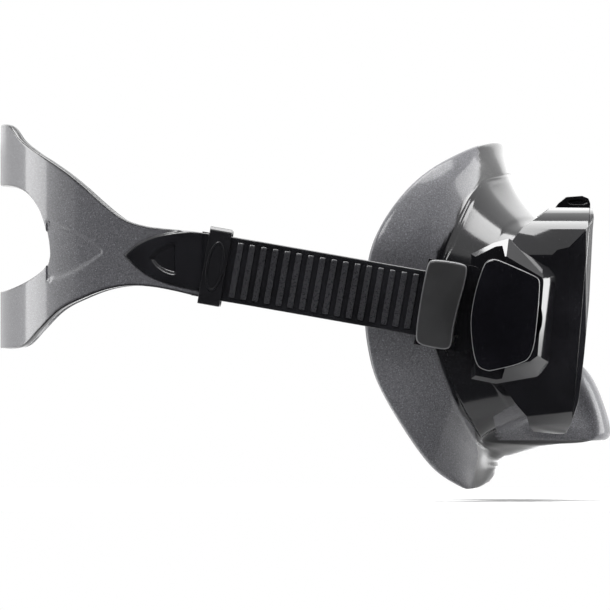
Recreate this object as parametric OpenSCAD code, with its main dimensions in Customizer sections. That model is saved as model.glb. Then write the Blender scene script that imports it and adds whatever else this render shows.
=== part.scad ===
// Diving mask with twin lenses, nose pocket, swivelling buckles and split head strap
// Units: mm. +X is the way the wearer looks, +Y the wearer's left, +Z up.
// The origin is the middle of the face opening, on the mid-plane of the mask.

/* [Mask] */
// Width of the frame over its side walls
mask_w = 153; // [128:1:166]
// Height of the soft skirt, forehead to upper lip
mask_h = 117.6; // [104:0.4:141.2]
// Wall of the hard frame
frame_wall = 4; // [3:0.5:4.5]
// Thickness of the skirt wall
skirt_wall = 2.2; // [1.6:0.1:2.6]
// Thickness of the seal edge
seal_t = 0.8; // [0.6:0.1:1.4]

/* [Lenses] */
// Thickness of each glass pane
lens_t = 3.3; // [2.6:0.1:4]
// Backward lean of the lens plane in degrees
lens_lean = 4.75; // [2:0.25:8]
// Depth of the front bezel
bezel_t = 1.5; // [1.2:0.1:2.2]
// How far the lens edge sits under the bezel
lens_lap = 2.2; // [1.6:0.1:2.8]

/* [Buckles] */
// Diameter of the swivel pin
pivot_d = 5; // [4:0.2:6]
// Thickness of the swivelling arm
arm_t = 6.5; // [5.5:0.1:7.8]
// Tilt of the strap at rest in degrees
strap_tilt = 10; // [0:1:16]
// Diameter of the strap roller
roller_d = 4; // [3.4:0.1:4.2]
// Diameter of the small hinge pins
small_pin_d = 2; // [1.6:0.1:2.4]

/* [Strap] */
// Width of the ribbed strap
strap_w = 22; // [18:0.1:26.4]
// Thickness of one layer of the strap
strap_t = 2; // [1.6:0.1:2.2]
// Number of ribs on each side
rib_count = 16; // [8:1:17]
// Distance from rib to rib
rib_pitch = 4; // [3.6:0.1:4.1]
// Height of the ribs
rib_h = 0.8; // [0.4:0.1:0.9]
// Width of the keeper along the strap
keeper_w = 7.5; // [5:0.5:9]

/* [Hidden] */
$fn = 48;
ky = mask_w / 153;
kz = mask_h / 117.6;
side_y = mask_w / 2;
pivot = [24.5, -1];
face_x = 51.3;
run = 0.05;
seat = 0.03;
arm_y0 = side_y - 1.4;
arm_y1 = arm_y0 + arm_t;
cover_y = arm_y1 + 0.6;
roller_y = side_y + 3.1;
roller_u = -23;
wrap_in = roller_d / 2 + 0.15;
layer_y0 = roller_y + wrap_in;
layer_y1 = layer_y0 + strap_t;
tail_y1 = layer_y0 - 0.15;
knuckle_r = small_pin_d / 2 + 0.5;
pad_y = max(layer_y1 + rib_h + 0.75, arm_y1 + 2 * knuckle_r + 0.7);
pad_pin = [-17.6, pad_y - knuckle_r - 0.4];
strap_h = strap_w / 2;
cheek_in = strap_h + 0.45;
cheek_top = cheek_in + 3.8;
cheek_low = -cheek_in - 2.6;
bend_r = layer_y1 - 15.5;
bend_x = -146.9 + bend_r;
tail_u = -106;
keeper_u = -99.85;

// Half outline of the frame seen from the front, from forehead round to nose bridge
front_half = [[0, 35.8], [24, 36.2], [46, 36.4], [61.5, 34.2], [70, 29.2], [74.8, 22], [76.2, 13], [76.5, 2],
    [76, -9], [73.5, -18], [67, -28], [57, -36.5], [43, -40.2], [30, -38.5], [19.5, -29],
    [12, -17], [0, -12]];

// Half opening for one eye
eye_half = [[5, 26.5], [24, 28], [43, 27.6], [52.5, 24], [57.5, 16.5], [59, 6], [58, -6],
    [54.5, -17], [47.5, -26], [38, -31], [29.5, -29], [21.5, -19.5], [13.5, -8.5], [6.5, -2.5]];

// Frame seen from the side, as X and Z
side_profile = [[53.9, 36.2], [54, 33], [53.6, 28.9], [52.4, 5.1], [50.7, -13.3], [48.8, -29.2],
    [47.3, -34], [45.9, -37.6], [44.9, -39.8], [43.2, -40.4], [33.7, -39.4], [32.6, -37.9],
    [31.3, -34.2], [27.9, -30.3], [23.1, -23.5], [19.7, -19.6], [15, -18], [12.6, -12], [12, 0],
    [14, 14], [18, 20], [23.1, 21.5], [25.2, 23.8], [26.9, 25.8], [29.2, 28.9], [35, 33],
    [39.8, 36.4]];

// Half plan of the frame, as X and Y
plan_half = [[55, 0], [55, 58.5], [54, 65], [51.3, 70.3], [45.5, 74.2], [34, 76], [24, 76.5], [10, 76.5],
    [10, 64], [22, 61], [28, 54], [33, 44], [38, 32], [41.5, 25], [42.2, 18], [42.2, 0]];

// Half plan of the hollow inside the frame
hollow_half = [[50, 0], [50, 61], [46, 66], [41, 69.4], [32, 71.5], [24, 72.3], [0, 72.3], [0, 0]];

// Raised bay round each buckle pivot, as X and Z
bay_outline = [[15, 19], [21, 22], [24.8, 23.1], [35, 16.4], [38.1, 15.3], [39.8, 12.9],
    [39.8, 10.5], [38.8, -2], [37.7, -15.3], [33.5, -18.4], [21, -20.6], [15, -19.4]];

// Outline of the buckle cover
cover_outline = [[17.3, 18], [19.7, 19], [21.8, 18.7], [34, 13.3], [35.4, 12.2], [35.7, 10.2],
    [35, -0.3], [33.3, -14.3], [27.5, -17], [19.7, -18.7], [18.4, -19], [15.3, -18], [13.9, -16],
    [12.9, -11.9], [12.2, -5.4], [12.2, -0.3], [13.3, 6.1], [14.6, 11.2], [16.3, 16]];

// Skirt stations from forehead to upper lip: where the wall leaves the frame
exit_row = [[38, 0, 29.6], [37.6, 24, 30.8], [32.4, 44.5, 30.8], [27.4, 56.5, 28.8], [24.5, 64, 24.3],
    [22, 68.6, 19], [15, 70.6, 12], [11, 71.2, 2], [12.5, 70.6, -8.5], [17, 68.6, -16],
    [24, 63, -24.5], [28, 54.5, -30.6], [31, 42.5, -34], [32, 30, -33.4], [36.8, 19.5, -29.8],
    [38.6, 12, -18.5], [39, 0, -12.4]];
// Root of the sealing flange
root_row = [[26.5, 0, 47.5], [24.5, 22, 47.5], [17.5, 40, 46], [13, 52, 41], [9.5, 60, 34.5],
    [6, 66, 26.5], [2, 70, 17], [-1, 71.5, 2], [0, 70.5, -10], [3, 67, -18.5], [7, 59, -29],
    [11, 49, -36.5], [14, 38, -41.5], [17, 28, -44.5], [20.5, 18, -46], [23.5, 9, -47.5],
    [24.5, 0, -48.3]];
// Middle of the sealing flange
flange_row = [[25, 0, 53.5], [22.5, 23, 53.5], [15, 43, 51], [6.5, 56, 46], [0, 64, 38.5],
    [-6, 70, 28], [-10, 72.6, 17.5], [-12, 73.3, 2], [-11, 72.6, -11], [-7.5, 69.5, -22],
    [-0.5, 61, -36], [5.5, 51, -45], [11, 38, -50.5], [14.5, 27.5, -52.5], [18, 17, -52.5],
    [21, 8.5, -52], [22, 0, -51.5]];
// Crest of the flange, before it rolls in
crest_row = [[24.4, 0, 57.8], [21, 22.5, 57.8], [12.2, 42.5, 55.2], [0.5, 57, 48.8],
    [-9, 65.5, 40.3], [-16.8, 70.8, 29.2], [-20.5, 73, 18.2], [-21.8, 73.4, 2],
    [-20.5, 72.6, -11.5], [-16.8, 69.3, -23.8], [-7, 61, -40.3], [1.2, 51, -51.2],
    [10, 37, -57.3], [13.2, 26.5, -58], [16.5, 15.5, -57.3], [19.5, 7.5, -55], [21, 0, -54.2]];
// Seal edge against the face
edge_row = [[22.3, 0, 58.7], [19.8, 21.5, 58.6], [11.2, 41, 55.9], [-1, 55.5, 49.3],
    [-10.4, 63.5, 40.9], [-18, 68.5, 29.6], [-21.9, 70.5, 18.4], [-23.1, 71, 2],
    [-21.9, 70, -11.6], [-18.2, 67, -24.2], [-8.5, 58.5, -41], [0.2, 48.5, -52.2],
    [9.5, 35, -58.3], [12.9, 25, -58.9], [15.8, 14.5, -58.3], [18.2, 7, -57], [19.2, 0, -56.6]];
// Nose pocket, from under the bridge over the tip and back, for the last three stations
nose_rows = [
    [[44, 14, -28.6], [47, 13.5, -32.5], [49.5, 15, -39], [47.5, 16.5, -42.8], [38, 18, -44]],
    [[46, 9.2, -18.6], [52.5, 9.5, -25], [57, 10.5, -37], [55.5, 11.5, -42.3], [44, 12.5, -43.6]],
    [[47, 0, -14.4], [54.5, 0, -22], [60, 0, -37], [58.3, 0, -42.6], [45, 0, -43.7]]];

// Side outline of the split band behind the keepers, as X and Z
band_tail = [[-85.7, 28.6], [-97.6, 30.1], [-105.1, 32.6], [-112.2, 38.1], [-123.8, 47.9],
    [-136, 56.1], [-141, 61], [-143.8, 64.9], [-148.5, 65.2], [-148.5, 43.8], [-141.8, 43.5],
    [-137.4, 41.5], [-133.6, 36.7], [-131.6, 30.9], [-129.9, 23.5], [-130.2, 17.3],
    [-133.3, 14.6], [-138.4, 11.2], [-144.2, 8.4], [-148.5, 8], [-148.5, -11.5], [-139, -11.2],
    [-133.6, -5.8], [-127.8, 1], [-118, 6.5], [-109.8, 8.8], [-102.7, 9.9], [-94.5, 9.5],
    [-87, 8.2], [-79.9, 6.1]];
tongue = [[-78, 28.1], [-85.3, 28.2], [-94.5, 27.4], [-100.3, 25.4], [-103.6, 22.8], [-104.4, 20.6],
    [-103.4, 17.8], [-101, 15.6], [-96.5, 12.8], [-91.5, 10.6], [-80.5, 6.6]];
tongue_hollow = [[-88, 24.2], [-92, 22.6], [-94.9, 20.6], [-95, 19.2], [-92.6, 15.8], [-88, 13]];

// ---------- helpers ----------

function flip(pts) = [for (i = [len(pts) - 1 : -1 : 0]) [-pts[i][0], pts[i][1]]];
function both(pts) = concat(pts, [for (p = flip(pts)) if (p[0] < -0.01) p]);
function both_plan(pts) = concat(pts, [for (i = [len(pts) - 1 : -1 : 0]) if (pts[i][1] > 0.01)
    [pts[i][0], -pts[i][1]]]);
function sized(pts) = [for (p = pts) [p[0] * ky, p[1] * kz]];
function sized_plan(pts) = [for (p = pts) [p[0], p[1] * ky]];
function sized_side(pts) = [for (p = pts) [p[0], p[1] * kz]];
function on_strap(u, v) = [pivot[0] + u * cos(strap_tilt) + v * sin(strap_tilt),
    pivot[1] - u * sin(strap_tilt) + v * cos(strap_tilt)];
function unit(v) = v / max(norm(v), 1e-9);
// Smooth curve through four neighbouring points
function spline(a, b, c, d, t) = 0.5 * (2 * b + (c - a) * t + (2 * a - 5 * b + 4 * c - d) * t * t
    + (3 * b - a - 3 * c + d) * t * t * t);

module along_x(x0, x1) {
    translate([x0, 0, 0]) rotate([90, 0, 90]) linear_extrude(x1 - x0) children();
}
module along_y(y0, y1) {
    translate([0, y1, 0]) rotate([90, 0, 0]) linear_extrude(y1 - y0) children();
}
module lens_frame() {
    translate([face_x, 0, 0]) rotate([0, lens_lean, 0]) children();
}
module strap_frame() {
    translate([pivot[0], 0, pivot[1]]) rotate([0, strap_tilt, 0]) children();
}
module right_side() {
    mirror([0, 1, 0]) children();
}
module pin_y(r, y0, y1) {
    translate([0, y1, 0]) rotate([90, 0, 0]) cylinder(r = r, h = y1 - y0);
}
module softened(r) {
    offset(r = r) offset(delta = -r) children();
}

// ---------- skirt ----------

last = len(front_half) - 1;
front_sized = sized(front_half);

// Inward direction of the front outline at one station
function inward(i) = let (a = i == 0 ? [-front_sized[1][0], front_sized[1][1]] : front_sized[i - 1],
    b = i == last ? [-front_sized[last - 1][0], front_sized[last - 1][1]] : front_sized[i + 1],
    d = unit(b - a)) [d[1], -d[0]];
function seat_point(i, inset, back) = let (p = front_sized[i] + inward(i) * inset)
    [face_x - back + p[1] * tan(lens_lean), p[0], p[1]];
function sized3(p) = [p[0], p[1] * ky, p[2] * kz];
function wall_points(i) = i >= last - 2 ? [for (p = nose_rows[i - last + 2]) sized3(p)]
    : [for (t = [1 : 5]) let (a = sized3(exit_row[i]), b = sized3(root_row[i]), f = t / 6)
        a * (1 - f) + b * f + [-1.6, 0, 0] * sin(180 * f)];
// One station of the outer skin, from the lens seat to the seal edge
function station(i) = concat([seat_point(i, 12, 7.85), seat_point(i, 9.2, 10)],
    [sized3(exit_row[i])], wall_points(i),
    [for (row = [root_row, flange_row, crest_row, edge_row]) sized3(row[i])]);
half_cage = [for (i = [0 : last]) station(i)];
rows = len(half_cage[0]);
loops = 2 * last;
// Any station of the full loop, the right half mirrored
function cage(i, k) = let (j = (i + loops) % loops, m = j <= last ? j : loops - j,
    p = half_cage[m][min(max(k, 0), rows - 1)]) j <= last ? p : [p[0], -p[1], p[2]];
function on_row(s, k) = let (i = floor(s), t = s - i)
    spline(cage(i - 1, k), cage(i, k), cage(i + 1, k), cage(i + 2, k), t);
function skin(s, q) = let (k = min(floor(q), rows - 2), t = q - k)
    spline(on_row(s, k - 1), on_row(s, k), on_row(s, k + 1), on_row(s, k + 2), t);
function normal(s, q) = let (a = max(q - 0.2, 0), b = min(q + 0.2, rows - 1))
    unit(cross(skin(s + 0.2, q) - skin(s - 0.2, q), skin(s, b) - skin(s, a)));
function thick(q) = q < rows - 4 ? skirt_wall
    : skirt_wall + (seal_t - skirt_wall) * (q - rows + 4) / 3;

steps_round = 64;
row_steps = [0, 1, 2, 2.5, 3, 3.5, 4, 4.5, 5, 5.5, 6, 6.5, 7, 8, 8.5, 9, 9.5, 10, 10.5, 11];
rings = len(row_steps);
skirt_outer = [for (q = row_steps) for (j = [0 : steps_round - 1]) skin(j * loops / steps_round, q)];
skirt_inner = [for (n = [rings - 1 : -1 : 0]) for (j = [0 : steps_round - 1])
    let (s = j * loops / steps_round, q = row_steps[n]) skin(s, q) - normal(s, q) * thick(q)];

module skirt() {
    color([0.33, 0.33, 0.35])
    polyhedron(points = concat(skirt_outer, skirt_inner), convexity = 8,
        faces = [for (r = [0 : 2 * rings - 1]) for (j = [0 : steps_round - 1]) for (half = [0, 1])
            let (r2 = (r + 1) % (2 * rings), j2 = (j + 1) % steps_round,
                a = r * steps_round + j, b = r * steps_round + j2,
                c = r2 * steps_round + j2, d = r2 * steps_round + j)
            half == 0 ? [a, c, b] : [a, d, c]]);
}

// ---------- frame, lenses and bezel ----------

module front_outline(inset = 0) {
    offset(delta = -inset) polygon(both(front_sized));
}
module eye(grow = 0) {
    offset(r = grow + 2.5) offset(delta = -2.5) polygon(sized(eye_half));
}
module both_eyes(grow = 0) {
    eye(grow);
    mirror([1, 0]) eye(grow);
}
module frame_block() {
    intersection() {
        along_y(-90, 90) polygon(sized_side(side_profile));
        along_x(5, 60) front_outline();
        translate([0, 0, -60]) linear_extrude(120) polygon(both_plan(sized_plan(plan_half)));
    }
}
module frame_hollow() {
    intersection() {
        along_x(0, 60) front_outline(frame_wall);
        translate([0, 0, -60]) linear_extrude(120) polygon(both_plan(sized_plan(hollow_half)));
        lens_frame() translate([-87.6, -100, -100]) cube([80, 200, 200]);
    }
}
module bay() {
    hull() {
        along_y(side_y - 6, side_y - 5) offset(delta = 3) polygon(bay_outline);
        along_y(cover_y - 1.2, cover_y - 0.2) offset(delta = -3) polygon(bay_outline);
    }
}
// Space swept by the buckle arm inside the bay
module arm_space() {
    translate([pivot[0], 0, pivot[1]]) {
        pin_y(12, arm_y0 - 0.3, side_y + 20);
        along_y(arm_y0 - 0.3, side_y + 20) intersection() {
            circle(r = norm([18.4, cheek_top]) + 0.5);
            polygon([[4, 0], [-5, 40], [-40, 40], [-40, -40], [-7, -40]]);
        }
    }
}
module frame_side() {
    difference() {
        bay();
        translate([-100, -150, -100]) cube([200, 150 + side_y - 4.2, 200]);
        arm_space();
    }
}
module frame() {
    color([0.03, 0.03, 0.035])
    difference() {
        union() {
            difference() {
                frame_block();
                arm_space();
                right_side() arm_space();
            }
            frame_side();
            right_side() frame_side();
        }
        frame_hollow();
        lens_frame() {
            along_x(-20, 20) both_eyes();
            along_x(-bezel_t - lens_t - 0.35, 20) both_eyes(lens_lap + 0.25);
            translate([-bezel_t - 0.12, -100, -100]) cube([40, 200, 200]);
        }
        translate([pivot[0], 0, pivot[1]]) pin_y(pivot_d / 2 + seat, -100, 100);
    }
}
module lens_bezel() {
    color([0.02, 0.02, 0.025])
    difference() {
        intersection() {
            frame_block();
            lens_frame() translate([-bezel_t, -100, -100]) cube([40, 200, 200]);
        }
        lens_frame() along_x(-20, 20) both_eyes(-0.2);
    }
}
module lens_left() {
    color([0.75, 0.85, 0.88, 0.4])
    lens_frame() along_x(-bezel_t - lens_t - 0.2, -bezel_t - 0.2) eye(lens_lap);
}
module lens_right() {
    right_side() lens_left();
}
module bezel_clip_top() {
    color([0.03, 0.03, 0.035])
    difference() {
        along_y(-9, 9) translate([0, 36.4 * (kz - 1)])
            polygon([[41.2, 36.15], [42.5, 37.9], [45.2, 40.1], [50.7, 40.5], [52.8, 39.6], [53.4, 38],
                [53.4, 36.15]]);
        for (y = [-9.4, 8.2])
            along_y(y, y + 1.2) translate([49.2, 38.4 + 36.4 * (kz - 1)]) scale([3.4, 0.9]) circle(r = 1);
    }
}

// ---------- buckles, drawn on the left side ----------

module pivot_pin() {
    color([0.7, 0.7, 0.72])
    translate([pivot[0], 0, pivot[1]]) pin_y(pivot_d / 2, side_y - 4, cover_y + 1.5);
}
module pivot_bush() {
    color([0.85, 0.84, 0.8])
    strap_frame() difference() {
        pin_y(pivot_d / 2 + 2, arm_y0 + 0.1, arm_y1 - 0.1);
        pin_y(pivot_d / 2 + run, arm_y0 - 1, arm_y1 + 1);
    }
}
module buckle_cover() {
    color([0.01, 0.01, 0.012])
    difference() {
        hull() {
            along_y(cover_y, cover_y + 2) polygon(cover_outline);
            along_y(cover_y + 2, cover_y + 3.2) offset(delta = -1.1) polygon(cover_outline);
        }
        translate([pivot[0], 0, pivot[1]]) pin_y(pivot_d / 2 + seat, cover_y - 1, cover_y + 1.6);
    }
}
module buckle_arm() {
    color([0.04, 0.04, 0.045])
    strap_frame() difference() {
        union() {
            pin_y(9.6, arm_y0, arm_y1);
            along_y(arm_y0, arm_y1)
                polygon([[0, 9.6], [-5, 10.2], [-11, cheek_top - 1.6], [-13, cheek_top], [-18.4, cheek_top],
                    [-18.4, cheek_low], [-13, cheek_low], [-11, cheek_low + 1.6], [-5, -10.2], [0, -9.6]]);
            for (z = [[cheek_in, cheek_top], [cheek_low, -cheek_in]])
                translate([0, 0, z[0]]) linear_extrude(z[1] - z[0])
                    polygon([[-14, arm_y0], [-14, arm_y1 - 0.2], [-15.7, arm_y1], [-15.7, pad_y - 1.1], [-18.2, pad_y - 0.25],
                        [-29.4, pad_y - 0.25], [-29.4, arm_y0 + 2], [-27.4, arm_y0]]);
        }
        pin_y(pivot_d / 2 + 2 + seat, 0, 100);
        translate([roller_u, roller_y, -40]) cylinder(r = small_pin_d / 2 + seat, h = 80);
        translate([pad_pin[0], pad_pin[1], -40]) cylinder(r = small_pin_d / 2 + seat, h = 80);
    }
}
module strap_roller() {
    color([0.12, 0.12, 0.13])
    strap_frame() translate([roller_u, roller_y, 0.15 - cheek_in]) difference() {
        cylinder(r = roller_d / 2, h = 2 * cheek_in - 0.3);
        translate([0, 0, -1]) cylinder(r = small_pin_d / 2 + run, h = 40);
    }
}
module roller_pin() {
    color([0.75, 0.75, 0.77])
    strap_frame() translate([roller_u, roller_y, cheek_low + 0.2])
        cylinder(r = small_pin_d / 2, h = cheek_top - cheek_low - 0.4);
}
module pad_pin() {
    color([0.75, 0.75, 0.77])
    strap_frame() translate([pad_pin[0], pad_pin[1], cheek_low + 0.2])
        cylinder(r = small_pin_d / 2, h = cheek_top - cheek_low - 0.4);
}
module pad_outline() {
    softened(3) polygon([[-28.6, cheek_top + 0.2], [-26, cheek_top + 0.3], [-16, cheek_top + 0.3],
        [-15.8, cheek_top], [-16.2, 0], [-16.4, cheek_low - 0.2], [-28.8, cheek_low - 0.2],
        [-29.9, -2], [-29.9, 4]]);
}
module release_pad() {
    color([0.2, 0.2, 0.21])
    strap_frame() difference() {
        union() {
            hull() {
                along_y(pad_y, pad_y + 2) pad_outline();
                along_y(pad_y + 2, pad_y + 3) offset(delta = -1) pad_outline();
            }
            translate([pad_pin[0], pad_pin[1], 3 - cheek_in]) {
                cylinder(r = knuckle_r, h = 2 * cheek_in - 3.2);
                translate([-1.2, 0, 0]) cube([2.7, knuckle_r + 0.7, 2 * cheek_in - 3.2]);
            }
        }
        translate([pad_pin[0], pad_pin[1], -40]) cylinder(r = small_pin_d / 2 + run, h = 80);
    }
}
module pad_spring() {
    color([0.8, 0.8, 0.82])
    strap_frame() translate([pad_pin[0], pad_pin[1], 0.15 - cheek_in]) difference() {
        union() {
            cylinder(r = knuckle_r, h = 2.6);
            translate([-2, knuckle_r - 0.55, 0]) cube([2, 0.45, 0.6]);
            translate([0, 0.05 - knuckle_r, 2]) cube([2.4, 0.45, 0.6]);
        }
        translate([0, 0, -1]) cylinder(r = small_pin_d / 2 + 0.1, h = 5);
    }
}
module keeper() {
    color([0.03, 0.03, 0.035])
    strap_frame() difference() {
        union() {
            translate([keeper_u - keeper_w / 2, 0, 0]) rotate([90, 0, 90]) linear_extrude(keeper_w)
                softened(1.2) polygon([[tail_y1 - strap_t - 1.75, -strap_h - 1.6],
                    [tail_y1 - strap_t - 1.75, strap_h + 1.6], [tail_y1 - 1, strap_h + 2.2],
                    [pad_y - 0.4, strap_h + 2.2], [pad_y + 1.1, strap_h + 1], [pad_y + 1.3, 0],
                    [pad_y + 1.1, -strap_h - 1], [pad_y - 0.4, -strap_h - 2.2],
                    [tail_y1 - 1, -strap_h - 2.2]]);
            along_y(pad_y + 0.5, pad_y + 1.7) translate([keeper_u, 0]) difference() {
                scale([0.4 * keeper_w, 8.4]) circle(r = 1);
                scale([0.4 * keeper_w - 0.8, 7.6]) circle(r = 1);
            }
        }
        translate([keeper_u - 20, tail_y1 - strap_t - 0.15, -strap_h - 0.2])
            cube([40, pad_y - 0.4 - tail_y1 + strap_t + 0.15, strap_w + 0.4]);
    }
}

// ---------- strap ----------

band_outline = concat([on_strap(-29, strap_h), on_strap(-92, strap_h)], band_tail,
    [on_strap(-92, -strap_h), on_strap(-29, -strap_h)]);

// Plan of the loop round the head, between two depths measured from its outer face
module loop_plan(out, depth) {
    difference() {
        loop_shape(out);
        loop_shape(out - depth);
    }
}
module loop_shape(grow) {
    for (s = [-1, 1])
        translate([bend_x, s * 15.5]) circle(r = bend_r + grow, $fn = 96);
    translate([bend_x - bend_r - grow, -15.5]) square([bend_r, 31]);
    translate([bend_x, -layer_y1 - grow]) square([95, 2 * (layer_y1 + grow)]);
}
module loop_wall(out, depth) {
    translate([0, 0, -50]) linear_extrude(150) loop_plan(out, depth);
}
module strap_side() {
    strap_frame() {
        for (i = [0 : rib_count - 1])
            translate([-32.6 - i * rib_pitch - 1, layer_y1 - 0.1, 1.7 - strap_h])
                cube([2, rib_h + 0.1, strap_w - 3.4]);
        translate([0, 0, 0.02 - strap_h]) linear_extrude(strap_w - 0.04) {
            translate([-32, layer_y0]) square([32 + roller_u, strap_t]);
            intersection() {
                translate([roller_u, roller_y]) difference() {
                    circle(r = wrap_in + strap_t);
                    circle(r = wrap_in);
                }
                translate([roller_u, 0]) square([20, 200]);
            }
            polygon([[roller_u, roller_y - wrap_in], [roller_u, roller_y - wrap_in - strap_t],
                [-28, roller_y - wrap_in - strap_t], [-43, tail_y1 - strap_t], [tail_u, tail_y1 - strap_t],
                [tail_u, tail_y1], [-42.5, tail_y1], [-27.5, roller_y - wrap_in]]);
        }
    }
}
module strap() {
    color([0.1, 0.1, 0.105]) {
        difference() {
            union() {
                intersection() {
                    along_y(-120, 120) polygon(band_outline);
                    loop_wall(0, strap_t);
                }
                intersection() {
                    along_y(-120, 120) polygon(tongue);
                    loop_wall(0.6, 1);
                }
            }
            intersection() {
                along_y(-120, 120) polygon(tongue_hollow);
                loop_wall(2, 2.8);
            }
        }
        strap_side();
        right_side() strap_side();
    }
}

skirt();
frame();
lens_bezel();
lens_left();
lens_right();
bezel_clip_top();
strap();
pivot_pin();  // left_pivot_pin
pivot_bush();  // left_pivot_bush
buckle_arm();  // left_buckle_arm
buckle_cover();  // left_buckle_cover
strap_roller();  // left_strap_roller
roller_pin();  // left_roller_pin
release_pad();  // left_release_pad
pad_pin();  // left_pad_pin
pad_spring();  // left_pad_spring
keeper();  // left_keeper
right_side() pivot_pin();  // right_pivot_pin
right_side() pivot_bush();  // right_pivot_bush
right_side() buckle_arm();  // right_buckle_arm
right_side() buckle_cover();  // right_buckle_cover
right_side() strap_roller();  // right_strap_roller
right_side() roller_pin();  // right_roller_pin
right_side() release_pad();  // right_release_pad
right_side() pad_pin();  // right_pad_pin
right_side() pad_spring();  // right_pad_spring
right_side() keeper();  // right_keeper
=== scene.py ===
import math

import bmesh
import bpy
import numpy as np
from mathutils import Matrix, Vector


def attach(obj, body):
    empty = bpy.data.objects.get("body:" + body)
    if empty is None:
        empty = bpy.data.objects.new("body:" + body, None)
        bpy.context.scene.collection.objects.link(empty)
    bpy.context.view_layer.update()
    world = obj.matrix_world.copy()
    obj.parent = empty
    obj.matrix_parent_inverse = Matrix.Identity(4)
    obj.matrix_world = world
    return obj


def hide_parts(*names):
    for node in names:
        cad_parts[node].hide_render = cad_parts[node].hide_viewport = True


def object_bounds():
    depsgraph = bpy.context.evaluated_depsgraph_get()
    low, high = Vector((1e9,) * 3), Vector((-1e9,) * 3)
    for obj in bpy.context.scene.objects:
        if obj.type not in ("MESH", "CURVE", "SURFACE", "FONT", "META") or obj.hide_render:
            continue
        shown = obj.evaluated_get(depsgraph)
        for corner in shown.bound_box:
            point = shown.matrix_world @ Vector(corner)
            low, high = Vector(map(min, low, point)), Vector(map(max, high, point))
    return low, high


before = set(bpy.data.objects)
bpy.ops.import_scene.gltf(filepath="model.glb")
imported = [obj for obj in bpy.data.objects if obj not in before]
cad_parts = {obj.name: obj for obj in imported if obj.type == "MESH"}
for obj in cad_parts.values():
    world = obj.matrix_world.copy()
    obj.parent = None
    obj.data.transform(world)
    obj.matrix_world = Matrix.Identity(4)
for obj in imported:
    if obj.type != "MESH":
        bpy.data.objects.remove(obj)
cad_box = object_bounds()
MM = 0.001

# ---------------------------------------------------------------- sizes, in millimetres, as in the CAD
PIVOT = (24.5, -1.0)
TILT = math.radians(10)
FACE_X = 51.3
LEAN = math.radians(4.75)
COVER_Y = 82.2
ROLLER_U, ROLLER_Y = -23.0, 79.6
WRAP_IN, STRAP_T, STRAP_W = 2.15, 2.0, 22.0
LAYER_Y0, LAYER_Y1 = 81.75, 83.75
TAIL_Y1 = 81.6
PAD_Y = 85.3
BACK_HALF = 15.5      # half of the straight stretch at the back of the strap
BEND_R = LAYER_Y1 - BACK_HALF
BEND_X = -146.9 + BEND_R
SPLIT_X, SPLIT_Z = -129.9, 20.6
TAIL_HALF = 10.95     # half of the tail's width
TONGUE_X, TONGUE_Z = -104.4, 20.2
HOLLOW_X, HOLLOW_Z, HOLLOW_LENGTH = -95.2, 19.0, 8.0
PANEL_X, PANEL_Z, PANEL_LENGTH = -131, 21.5, 19.0
# The second value paints the ribs paler through the strap's grey mark: a painted highlight on the ribs.
FIRST_RIB_U, RIB_PAINTED_HIGHLIGHT = -32.6, 0.24
RIBS = {"Count": 16, "Pitch": 4.0, "Width": 2.0, "Length": 18.6, "Height": 1.5}


# ---------------------------------------------------------------- shader expressions
class Wire:
    """One output of a node, with arithmetic that adds Math nodes."""

    def __init__(self, finish, socket):
        self.finish, self.socket = finish, socket

    def math(self, operation, *others):
        return self.finish.add("Math", {"operation": operation}, self, *others)

    def __add__(self, other):
        return self.math("ADD", other)

    def __sub__(self, other):
        return self.math("SUBTRACT", other)

    def __mul__(self, other):
        return self.math("MULTIPLY", other)

    def __rsub__(self, other):
        return self.finish.add("Math", {"operation": "SUBTRACT"}, other, self)

    __radd__ = __add__
    __rmul__ = __mul__

    def above(self, low, high):
        """0 below low, 1 above high, smooth between."""
        return self.finish.add("MapRange", {"interpolation_type": "SMOOTHSTEP"}, self, low, high, 0.0, 1.0)


class Finish:
    """A procedural material under construction."""

    def __init__(self, name):
        self.material = bpy.data.materials.new(name)
        self.material.use_nodes = True
        self.nodes = self.material.node_tree.nodes
        self.links = self.material.node_tree.links
        self.shader = self.nodes["Principled BSDF"]

    def put(self, socket, value):
        if isinstance(value, Wire):
            self.links.new(value.socket, socket)
        elif value is not None:
            socket.default_value = value

    def add(self, kind, settings=None, *values, out=0, **named):
        node = self.nodes.new("ShaderNode" + kind)
        for key, value in (settings or {}).items():
            setattr(node, key, value)
        for socket, value in zip(node.inputs, values):
            self.put(socket, value)
        for key, value in named.items():
            self.put(node.inputs[key.replace("_", " ")], value)
        return Wire(self, node.outputs[out])

    def place(self):
        return self.add("TexCoord", out=3)

    def noise(self, scale, detail=2.0, rough=0.5, where=None):
        return self.add("TexNoise", {"noise_dimensions": "3D"}, Vector=where or self.place(), Scale=scale,
                        Detail=detail, Roughness=rough)

    def cells(self, scale):
        return self.add("TexVoronoi", {"feature": "F1"}, Vector=self.place(), Scale=scale)

    def mark(self, name):
        return self.add("Attribute", {"attribute_name": name}, out=2)

    def tint(self, factor, a, b):
        node = self.nodes.new("ShaderNodeMix")
        node.data_type = "RGBA"
        self.put(node.inputs[0], factor)
        self.put(node.inputs[6], a if isinstance(a, Wire) else (*a, 1.0))
        self.put(node.inputs[7], b if isinstance(b, Wire) else (*b, 1.0))
        return Wire(self, node.outputs[2])

    def blend(self, factor, a, b):
        node = self.nodes.new("ShaderNodeMix")
        node.data_type = "FLOAT"
        self.put(node.inputs[0], factor)
        self.put(node.inputs[2], a)
        self.put(node.inputs[3], b)
        return Wire(self, node.outputs[0])

    def bump(self, height, strength, distance, under=None):
        return self.add("Bump", None, Strength=strength, Distance=distance, Height=height, Normal=under)

    def set(self, **sockets):
        for key, value in sockets.items():
            if isinstance(value, tuple) and len(value) == 3:
                value = (*value, 1.0)
            self.put(self.shader.inputs[key.replace("_", " ")], value)
        return self.material


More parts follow.
